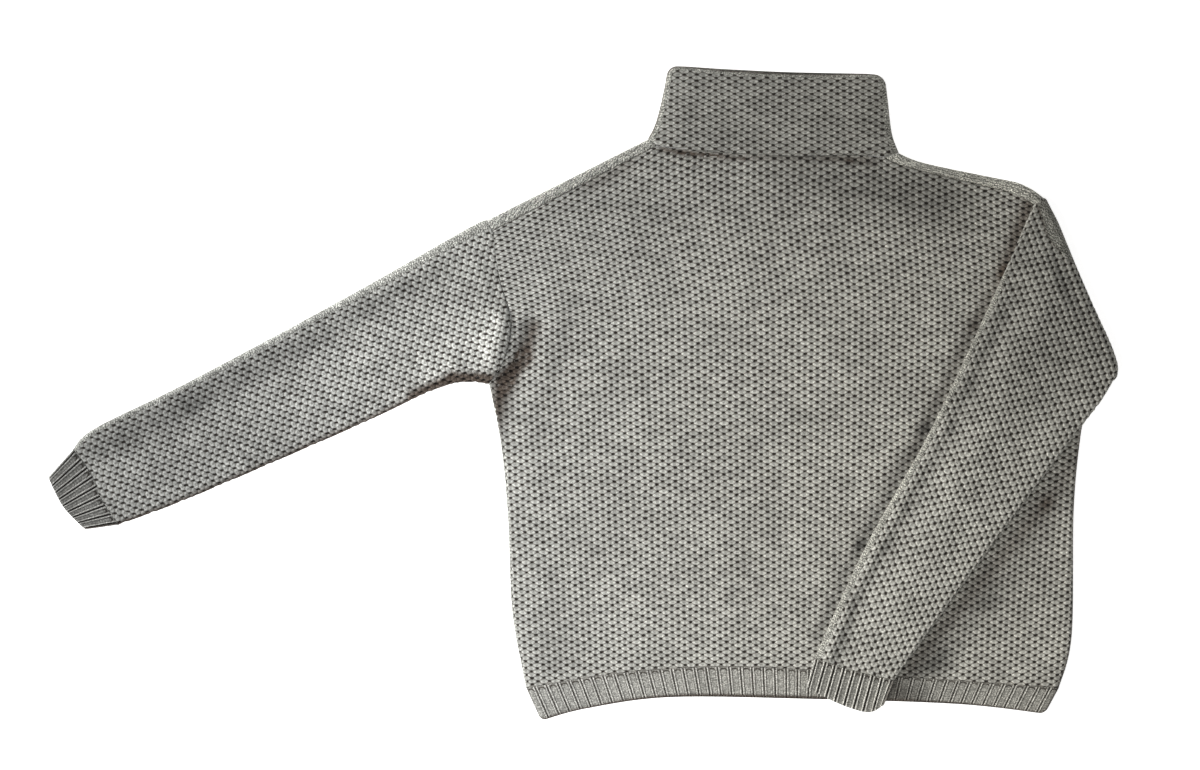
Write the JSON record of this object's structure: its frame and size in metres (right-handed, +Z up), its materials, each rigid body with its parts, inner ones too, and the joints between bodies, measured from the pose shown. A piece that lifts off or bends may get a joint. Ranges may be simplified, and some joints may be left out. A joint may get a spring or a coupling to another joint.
{
  "type": "funnel-neck knitted sweater",
  "caption": "Chunky honeycomb-knit pullover with a high funnel neck and ribbed hem and cuffs, laid flat with one sleeve folded over its front.",
  "frame": {"origin": "on the surface it lies on, under the middle of the body", "axes": "+X to the wearer's left, +Y towards the neck, +Z up out of the front"},
  "size_m": [1.0687, 0.658, 0.0218],
  "materials": {
    "honeycomb_knit": "marled grey wool, soft and slightly fuzzy",
    "rib_knit": "marled grey wool, ribbed"
  },
  "bodies": {
    "root": {"back": "honeycomb_knit", "front": "honeycomb_knit", "hem_back": "rib_knit", "hem_front": "rib_knit", "right_sleeve": "honeycomb_knit", "right_cuff": "rib_knit", "left_sleeve": "honeycomb_knit", "left_cuff": "rib_knit", "collar": "honeycomb_knit"}
  },
  "joints": []
}
